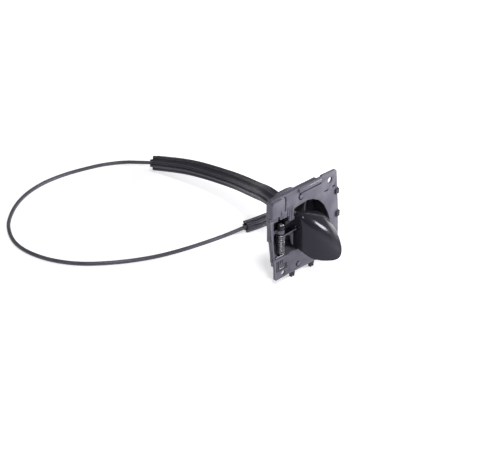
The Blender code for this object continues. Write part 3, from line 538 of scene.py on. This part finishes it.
def fluted_sleeve(name, points, radius):
    """Hollow rubber sleeve with lengthwise flutes."""
    c = cable_sizes()
    ring = []
    deep = min(c.flute_depth, FLUTE_SHARE * radius)
    for k in range(c.flutes * FLUTE_POINTS):
        turn = 2 * math.pi * k / (c.flutes * FLUTE_POINTS)
        share = (k % FLUTE_POINTS) / FLUTE_POINTS
        wave = math.cos(2 * math.pi * (share - FLUTE_TURN))
        dip = deep * (0.5 - 0.5 * max(-1.0, min(1.0, wave * FLUTE_STEEP + FLUTE_LEAN)))
        ring.append(((radius - dip) * math.cos(turn), (radius - dip) * math.sin(turn), 0.0))
    section = line_curve(name + "_section", ring, 0.0, cyclic=True)
    section.data.dimensions = "2D"
    obj = line_curve(name, points, 0.0, profile=section)
    obj.data.use_fill_caps = True
    first = points[0] + (points[0] - points[1]).normalized() * BORE_OVERRUN
    last = points[-1] + (points[-1] - points[-2]).normalized() * BORE_OVERRUN
    hollow = line_curve(name + "_hollow", [first] + points[1:-1] + [last], c.bore / 2, 6)
    for piece in (obj, hollow):
        activate(piece)
        bpy.ops.object.convert(target="MESH")
        bpy.ops.object.mode_set(mode="EDIT")
        bpy.ops.mesh.select_all(action="SELECT")
        bpy.ops.mesh.remove_doubles(threshold=CURVE_JOIN)
        bpy.ops.mesh.normals_make_consistent(inside=False)
        bpy.ops.object.mode_set(mode="OBJECT")
    bpy.data.objects.remove(section, do_unlink=True)
    cut(obj, hollow)
    activate(obj)
    bpy.ops.object.shade_smooth_by_angle(angle=SMOOTH_ANGLE)
    return obj


# Stage

SENSOR = 36.0
CLIP = (0.02, 20.0)
# Each lamp's name, direction from the object, distance and side
LAMPS = (
    ("key_light", (-0.36, -0.48, 0.80), 1.6, 0.20),
    ("side_light", (0.70, -0.66, 0.35), 0.8, 0.24),
    ("top_light", (0.1, 0.25, 1.0), 1.8, 1.6),
)
LAMPS_AIM = Vector((0.0, 0.12, 0.03))
FLOOR_SIDE = 12.0
# Distances from the middle between which the floor's glow rises: painted light, stronger far off in place
# of the lamps' light that falls away there
PAINTED_GLOW_RISE = (0.3, 0.9)


def add_camera(scene, s):
    data = bpy.data.cameras.new("picture_camera")
    data.lens = s.lens
    data.sensor_width = SENSOR
    data.clip_start = CLIP[0]
    data.clip_end = CLIP[1]
    camera = bpy.data.objects.new("picture_camera", data)
    camera.location = s.camera_at
    camera.rotation_euler = (math.radians(90 - s.elevation), 0.0, math.radians(s.azimuth))
    scene.collection.objects.link(camera)
    scene.camera = camera


def floor_glow(tree, s):
    """Painted light on the floor: a glow that rises with the distance from the object, in place of the
    lamps' light that falls away far off.
    """
    coords = tree.nodes.new("ShaderNodeTexCoord")
    reach = tree.nodes.new("ShaderNodeVectorMath")
    reach.operation = "LENGTH"
    rise = tree.nodes.new("ShaderNodeMapRange")
    rise.inputs["From Min"].default_value = PAINTED_GLOW_RISE[0]
    rise.inputs["From Max"].default_value = PAINTED_GLOW_RISE[1]
    rise.inputs["To Min"].default_value = s.near_glow
    rise.inputs["To Max"].default_value = s.far_glow
    glow = tree.nodes.new("ShaderNodeEmission")
    glow.inputs["Color"].default_value = (1, 1, 1, 1)
    tree.links.new(coords.outputs["Object"], reach.inputs[0])
    tree.links.new(reach.outputs["Value"], rise.inputs["Value"])
    tree.links.new(rise.outputs["Result"], glow.inputs["Strength"])
    return glow


def floor_white(s):
    """Floor that glows only for the eye, in mirror images and through clear pieces."""
    mat, tree, bsdf = shader("studio_floor_white", finishes().floor, rough=0.9, sheen=0.1)
    rays = tree.nodes.new("ShaderNodeLightPath")
    seen = rays.outputs["Is Camera Ray"]
    for ray in ("Is Glossy Ray", "Is Transmission Ray"):
        either = tree.nodes.new("ShaderNodeMath")
        either.operation = "MAXIMUM"
        tree.links.new(seen, either.inputs[0])
        tree.links.new(rays.outputs[ray], either.inputs[1])
        seen = either.outputs["Value"]
    both = tree.nodes.new("ShaderNodeAddShader")
    tree.links.new(bsdf.outputs["BSDF"], both.inputs[0])
    tree.links.new(floor_glow(tree, s).outputs["Emission"], both.inputs[1])
    pick = tree.nodes.new("ShaderNodeMixShader")
    tree.links.new(seen, pick.inputs["Fac"])
    tree.links.new(bsdf.outputs["BSDF"], pick.inputs[1])
    tree.links.new(both.outputs["Shader"], pick.inputs[2])
    tree.links.new(pick.outputs["Shader"], tree.nodes["Material Output"].inputs["Surface"])
    return mat


def add_lamps(scene, s):
    powers = (s.key_power, s.side_power, s.fill_power)
    for (name, direction, distance, side), power in zip(LAMPS, powers):
        lamp = bpy.data.lights.new(name, "AREA")
        lamp.shape = "SQUARE"
        lamp.size = side
        lamp.energy = power
        obj = bpy.data.objects.new(name, lamp)
        towards = Vector(direction).normalized()
        obj.location = LAMPS_AIM + towards * distance
        obj.rotation_euler = towards.to_track_quat("Z", "Y").to_euler()
        scene.collection.objects.link(obj)


def add_sky(scene, s):
    world = bpy.data.worlds.new("studio_world")
    world.use_nodes = True
    back = world.node_tree.nodes["Background"]
    back.inputs["Color"].default_value = (1.0, 1.0, 1.0, 1.0)
    back.inputs["Strength"].default_value = s.sky
    scene.world = world


class HANDLE_OT_stage(bpy.types.Operator):
    """Camera, pale floor and soft light"""

    bl_idname = "handle.stage"
    bl_label = "Stage"

    def execute(self, context):
        s = context.scene.handle_stage
        add_camera(context.scene, s)
        clear_selection()
        bpy.ops.mesh.primitive_plane_add(size=FLOOR_SIDE, location=(0, 0, 0))
        floor = bpy.context.object
        floor.name = "studio_floor"
        floor.data.materials.append(floor_white(s))
        add_lamps(context.scene, s)
        add_sky(context.scene, s)
        context.scene.view_settings.view_transform = "Standard"
        return {"FINISHED"}


class HANDLE_OT_cable(bpy.types.Operator):
    """Conduit in its loop, with the two fluted sleeves and the end fittings"""

    bl_idname = "handle.cable"
    bl_label = "Cable"

    def execute(self, context):
        c = cable_sizes()
        points = [place(*p) for p in smooth_route(ROUTE, CONDUIT_STEP)]
        conduit = line_curve("conduit_tube", points, c.conduit / 2, 6)
        finish_piece(conduit, "base", conduit_plastic(), "cable_conduit")

        guide = smooth_route([GUIDE_START] + ROUTE, SLEEVE_STEP)
        rubber = sleeve_rubber()
        stop = nearest(guide, LONG_SLEEVE_END)
        run = relaxed([LONG_SLEEVE_START] + guide[1:stop + 1], EVEN_ROUNDS)
        long_piece = fluted_sleeve("long_fluted_sleeve", [place(*p) for p in run], c.long_sleeve / 2)
        finish_piece(long_piece, "base", rubber, "long_sleeve")
        first, last = (nearest(guide, end) for end in SHORT_SLEEVE_ENDS)
        run = [Vector((p.x, p.y, SHORT_SLEEVE_Z)) for p in guide[first:last + 1]]
        short_piece = fluted_sleeve("short_fluted_sleeve", [place(*p) for p in run], c.short_sleeve / 2)
        finish_piece(short_piece, "base", rubber, "short_sleeve")

        trim = trim_plastic()
        for node in ("handle_end_fitting", "latch_end_fitting"):
            piece = round_edges(copy_of_node(node, node.replace("fitting", "ferrule")), FITTING_EDGE)
            finish_piece(piece, "base", trim, node)
        return {"FINISHED"}


# Plate details, in millimetres: outlines hold X and Z, boxes two opposite corners

# A little in front of the plate's face, where each cut begins
FACE = -0.6
RIDGE_LINE = [(35.0, 101.2), (70.2, 101.8), (71.6, 102.6), (71.6, 103.6), (69.8, 103.3), (35.0, 102.9)]
PAD_CUT = [(9.9, 87.5), (13.2, 87.5), (13.2, 110.0), (2.0, 110.0), (2.0, 108.2), (6.0, 107.3),
           (8.6, 105.3), (9.9, 102.2)]
PAD_EDGE = [(13.0, 88.5), (15.3, 88.5), (15.3, 103.6), (13.7, 106.7), (10.5, 108.0), (10.5, 106.5),
            (12.2, 105.3), (13.0, 103.2)]
WEDGE = [(2.4, 80.2), (6.6, 80.2), (4.7, 93.4), (3.7, 93.4)]
SLOT_END = [(89.4, 89.4), (94.2, 90.4), (94.2, 93.0), (90.4, 92.2)]
DIVIDER_CUT = [(18.9, 35.2), (27.7, 35.2), (27.7, 42.5), (26.5, 42.5), (23.2, 56.0), (18.9, 56.9)]
# Reach of the outlines in Y
RIDGE_REACH = (FACE, 1.5)
PAD_EDGE_REACH = (FACE, 1.7)
WEDGE_REACH = (-4.0, 4.0)
SLOT_REACH = (FACE, 2.0)
DIVIDER_REACH = (FACE, 6.0)
PAD_CUT_REACH = (-3.4, -0.02)
WEDGE_FILLER = ((7.0, 0.3, 81.2), (12.4, 2.2, 93.6))
PAD_FILLER = ((7.0, -2.95, 88.3), (12.2, 0.5, 93.6))
SLOT_DASH = ((76.5, FACE, 89.2), (83.0, 1.9, 90.8))
WEB_RECESS = ((-1.9, 2.5, 59.0), (8.4, 8.2, 65.4))
SHELF_RECESS = ((0.8, 2.2, 35.5), (8.0, 4.0, 37.5))
# Two ledges over the pad and the side wall: corners in X and Y, then their heights
PAD_LEDGE = ((-12.0, -4.0), (-3.4, 0.9))
WALL_LEDGE = ((-12.0, -1.0), (-8.9, 6.0))
LEDGES_AT = (84.0, 87.3)
LEDGE_HEIGHT = 1.0
# Shallow flutes beside the arch, and recesses below the spring: X, width, Y of the bottom, reach in Z
FLUTES_AT = (16.9, 20.2, 23.4)
FLUTE_WIDTH = 1.3
FLUTE_BOTTOM = 0.7
FLUTE_Z = (75.0, 92.0)
LOW_RECESS_AT = (1.0, 3.8, 6.6, 9.4)
LOW_RECESS_WIDTH = 2.0
LOW_RECESS_BOTTOM = 1.7
LOW_RECESS_Z = (16.5, 30.5)
# X and Z of the round posts' ends, and the open ring round each
STUDS = ((38.3, 97.6), (36.8, 14.3))
RING_RADII = (2.8, 4.1)
RING_ANGLES = (80, 340)
RING_REACH = (FACE, 2.2)
# Within these of a stud's middle, in Y and in radius, the bowl's faces are the plate's plastic
STUD_FACE = (0.6, 2.6)


def ledges(name, corners):
    low, high = corners
    return [block(name, (*low, z), (*high, z + LEDGE_HEIGHT)) for z in LEDGES_AT]


def slots(name, places, width, bottom, span):
    return [block(name, (x, FACE, span[0]), (x + width, bottom, span[1])) for x in places]


def plate_cuts():
    cuts = [prism("ridge_line", RIDGE_LINE, RIDGE_REACH), prism("pad_edge", PAD_EDGE, PAD_EDGE_REACH),
            prism("wedge", WEDGE, WEDGE_REACH)]
    cuts += ledges("pad_ledge", PAD_LEDGE) + ledges("wall_ledge", WALL_LEDGE)
    cuts += slots("flute", FLUTES_AT, FLUTE_WIDTH, FLUTE_BOTTOM, FLUTE_Z)
    cuts += [open_ring("stud_ring", stud, *RING_RADII, *RING_ANGLES, RING_REACH) for stud in STUDS]
    cuts += [block("slot_dash", *SLOT_DASH), prism("slot_end", SLOT_END, SLOT_REACH),
             prism("divider_cut", DIVIDER_CUT, DIVIDER_REACH), prism("pad_side", PAD_CUT, PAD_CUT_REACH),
             block("web_recess", *WEB_RECESS), block("shelf_recess", *SHELF_RECESS)]
    cuts += slots("low_recess", LOW_RECESS_AT, LOW_RECESS_WIDTH, LOW_RECESS_BOTTOM, LOW_RECESS_Z)
    return cuts


class HANDLE_OT_plate(bpy.types.Operator):
    """Moulded plate with its ridge, pad, ears, openings and bearings"""

    bl_idname = "handle.plate"
    bl_label = "Plate"

    def execute(self, context):
        plate = copy_of_node("base_plate", "moulded_plate")
        add(plate, block("wedge_filler", *WEDGE_FILLER), block("pad_filler", *PAD_FILLER))
        cut(plate, *plate_cuts())
        round_edges(plate, sizes().plate_edge)
        finish_piece(plate, "base", plate_plastic(), "base_plate")
        return {"FINISHED"}


# Scoop's outer face: rows from the foot up the front, over the roof and back to the rim.
# Each row runs from the hinge side round the front to the free edge.
SCOOP = [
    [(30.6, 1.0, 38.5), (31.0, -6.0, 37.0), (31.8, -12.0, 34.5), (35.6, -18.2, 29.3),
     (41.5, -24.1, 26.4), (50.0, -29.3, 24.3), (59.6, -33.8, 22.9), (67.0, -35.7, 24.3)],
    [(30.6, 1.0, 48.0), (31.0, -6.0, 47.5), (31.8, -12.0, 46.0), (35.7, -18.2, 43.5),
     (41.6, -24.1, 41.0), (50.2, -29.0, 38.0), (60.6, -33.0, 34.5), (71.2, -34.1, 32.0)],
    [(30.6, 1.0, 62.0), (31.0, -6.0, 62.0), (31.8, -11.8, 60.5), (35.9, -17.4, 57.5),
     (42.1, -22.7, 54.5), (51.0, -26.9, 50.0), (61.5, -30.1, 44.9), (72.7, -30.2, 39.0)],
    [(30.7, 1.0, 73.5), (31.1, -5.6, 73.6), (32.2, -10.9, 72.6), (36.6, -16.0, 69.6),
     (43.0, -20.6, 66.2), (51.8, -23.6, 61.0), (61.9, -25.7, 54.5), (74.6, -25.3, 44.6)],
    [(31.4, 1.1, 78.4), (32.1, -4.6, 78.4), (34.2, -8.8, 77.8), (39.2, -13.0, 75.0),
     (45.8, -16.4, 71.4), (54.6, -18.6, 66.0), (64.7, -19.9, 59.9), (76.8, -19.4, 49.1)],
    [(33.0, 1.2, 80.3), (35.6, -3.2, 80.2), (39.8, -6.0, 79.2), (45.4, -8.6, 77.0),
     (52.4, -10.6, 73.4), (61.0, -11.6, 68.6), (70.5, -11.9, 62.4), (79.7, -11.2, 52.0)],
    [(34.6, 1.3, 80.5), (38.4, -1.2, 80.0), (43.6, -2.8, 78.8), (49.8, -4.0, 76.6),
     (56.8, -4.8, 73.4), (64.8, -5.2, 69.2), (73.6, -4.8, 63.6), (81.8, -3.6, 55.1)],
    [(36.2, 1.4, 80.2), (41.5, 1.4, 78.8), (47.5, 1.4, 77.0), (54.0, 1.4, 74.8),
     (60.5, 1.4, 72.2), (67.5, 1.4, 69.0), (74.5, 1.3, 65.0), (81.0, 1.2, 60.0)],
]


# The arms keep what lies behind the scoop, and get a side panel and two fork plates
SCOOP_SPACE = ((10.0, -45.0, 20.0), (90.0, 1.45, 95.0))
SIDE_PANEL = ((30.92, -2.6, 40.0), (33.28, 2.2, 78.2))
FORK_LOW = ((31.6, 0.9, 68.72), (38.0, 2.0, 70.68))
FORK_HIGH = ((31.6, 0.9, 76.32), (38.0, 2.0, 78.28))
# Room for the spring's upper leg, through arms and scoop
LEG_NOTCH = ((28.5, -4.4, 60.4), (38.5, 1.6, 64.4))
# Rounding of the arms' edges in metres, and how finely the scoop is divided
ARMS_EDGE = 0.0004
SCOOP_LEVELS = 3
# A face of the scoop's front, whose direction tells which way the mesh looks
FRONT_FACE = 10


class HANDLE_OT_lever(bpy.types.Operator):
    """Hollow scoop and the arms that carry it on the pin"""

    bl_idname = "handle.lever"
    bl_label = "Lever"

    def execute(self, context):
        s = sizes()
        plastic = lever_plastic()
        arms = copy_of_node("lever", "lever_arms")
        cut(arms, block("scoop_away", *SCOOP_SPACE))
        add(arms, block("side_panel", *SIDE_PANEL), block("fork_low", *FORK_LOW),
            block("fork_high", *FORK_HIGH))
        cut(arms, block("spring_notch", *LEG_NOTCH))
        round_edges(arms, ARMS_EDGE)
        finish_piece(arms, "lever", plastic, "lever")

        columns = len(SCOOP[0])
        clear_selection()
        bpy.ops.mesh.primitive_grid_add(x_subdivisions=columns - 1, y_subdivisions=len(SCOOP) - 1,
                                        size=0.06)
        scoop = bpy.context.object
        scoop.name = "lever_scoop"
        for vertex in scoop.data.vertices:
            row, column = divmod(vertex.index, columns)
            vertex.co = place(*SCOOP[row][column])
        scoop.matrix_world = Matrix.Identity(4)
        if scoop.data.polygons[FRONT_FACE].normal.y > 0:
            scoop.data.flip_normals()
        sub = scoop.modifiers.new("Round", "SUBSURF")
        sub.levels = SCOOP_LEVELS
        sub.render_levels = SCOOP_LEVELS
        thick = scoop.modifiers.new("Wall", "SOLIDIFY")
        thick.thickness = s.lever_wall
        thick.offset = -1.0
        thick.use_even_offset = True
        apply_modifiers(scoop)
        round_edges(scoop, s.lever_edge, segments=3, angle=50)
        cut(scoop, block("leg_notch", *LEG_NOTCH))
        bpy.ops.object.shade_smooth_by_angle(angle=SMOOTH_ANGLE)
        finish_piece(scoop, "lever", plastic, "lever")
        return {"FINISHED"}


# Heights of the first and last coil, mean radius of the coils, and ends of the two legs
COILS_FROM = 34.8
COILS_TO = 58.4
COIL_RADIUS = 4.6
COIL_STEPS = 36
LOWER_LEG_X = 1.2
UPPER_LEG_END = (35.5, -1.8, 62.6)


class HANDLE_OT_spring(bpy.types.Operator):
    """Torsion spring on the pin, with its two legs"""

    bl_idname = "handle.spring"
    bl_label = "Return spring"

    def execute(self, context):
        s = sizes()
        total = s.spring_coils * COIL_STEPS
        points = [place(LOWER_LEG_X, AXIS[1] - COIL_RADIUS, COILS_FROM)]
        for k in range(total + 1):
            turn = 2 * math.pi * k / COIL_STEPS - math.pi / 2
            points.append(place(AXIS[0] + COIL_RADIUS * math.cos(turn),
                                AXIS[1] + COIL_RADIUS * math.sin(turn),
                                COILS_FROM + (COILS_TO - COILS_FROM) * k / total))
        points.append(place(*UPPER_LEG_END))
        spring = line_curve("torsion_spring", points, s.spring_wire / 2, 4)
        finish_piece(spring, "base", dark_steel("oiled_spring_steel", finishes().spring), "return_spring")
        return {"FINISHED"}


# Rounding of the clips' and the bowl's edges, in metres
CLIP_EDGE = 0.00035
BOWL_EDGE = 0.0006


class HANDLE_OT_trim(bpy.types.Operator):
    """Edge clips, finger bowl, buffer, pin and small metal pieces"""

    bl_idname = "handle.trim"
    bl_label = "Clips, bowl and pin"

    def execute(self, context):
        trim = trim_plastic()
        for side in ("bottom_left", "bottom_right", "right_lower", "right_upper"):
            piece = round_edges(copy_of_node("edge_clip_" + side, "plate_clip_" + side), CLIP_EDGE)
            finish_piece(piece, "base", trim, "edge_clip_" + side)
        bowl = round_edges(copy_of_node("finger_bowl", "finger_recess"), BOWL_EDGE)
        finish_piece(bowl, "base", bowl_plastic(), "finger_bowl")
        bowl.data.materials.append(plate_plastic())
        for face in bowl.data.polygons:
            for x, z in STUDS:
                away = face.center - place(x, 0.0, z)
                if abs(away.y) < STUD_FACE[0] * MM and math.hypot(away.x, away.z) < STUD_FACE[1] * MM:
                    face.material_index = 1
        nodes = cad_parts
        steel = bright_steel()
        pin_steel = dark_steel("oiled_pin_steel", finishes().pin)
        zinc = cast_zinc()
        for node, finish in (("hinge_pin", pin_steel), ("pin_lock_ring", zinc),
                             ("handle_inner_wire", steel), ("latch_inner_wire", steel),
                             ("handle_nipple", zinc), ("latch_nipple", zinc),
                             ("rest_buffer", buffer_rubber())):
            nodes[node].data.materials.clear()
            nodes[node].data.materials.append(finish)
        return {"FINISHED"}


class HANDLE_PT_panel(bpy.types.Panel):
    """Buttons for the handle's pieces"""

    bl_idname = "HANDLE_PT_panel"
    bl_label = "Door release handle"
    bl_space_type = "VIEW_3D"
    bl_region_type = "UI"
    bl_category = "Handle"

    def draw(self, context):
        layout = self.layout
        for step in STEPS:
            layout.operator(step.bl_idname)
        for group in (context.scene.handle_cable, context.scene.handle_sizes, context.scene.handle_finishes,
                      context.scene.handle_stage):
            box = layout.box()
            for name in group.__annotations__:
                box.prop(group, name)


STEPS = (HANDLE_OT_stage, HANDLE_OT_cable, HANDLE_OT_plate, HANDLE_OT_lever, HANDLE_OT_spring,
         HANDLE_OT_trim)
GROUPS = (CableSizes, HandleSizes, Finishes, StageSetup)


def register():
    for cls in GROUPS + STEPS + (HANDLE_PT_panel,):
        bpy.utils.register_class(cls)
    bpy.types.Scene.handle_cable = PointerProperty(type=CableSizes)
    bpy.types.Scene.handle_sizes = PointerProperty(type=HandleSizes)
    bpy.types.Scene.handle_finishes = PointerProperty(type=Finishes)
    bpy.types.Scene.handle_stage = PointerProperty(type=StageSetup)


def unregister():
    del bpy.types.Scene.handle_stage
    del bpy.types.Scene.handle_finishes
    del bpy.types.Scene.handle_sizes
    del bpy.types.Scene.handle_cable
    for cls in reversed(GROUPS + STEPS + (HANDLE_PT_panel,)):
        bpy.utils.unregister_class(cls)


def main():
    register()
    bpy.ops.handle.stage()
    bpy.ops.handle.cable()
    bpy.ops.handle.plate()
    bpy.ops.handle.lever()
    bpy.ops.handle.spring()
    bpy.ops.handle.trim()


if __name__ == "__main__":
    main()
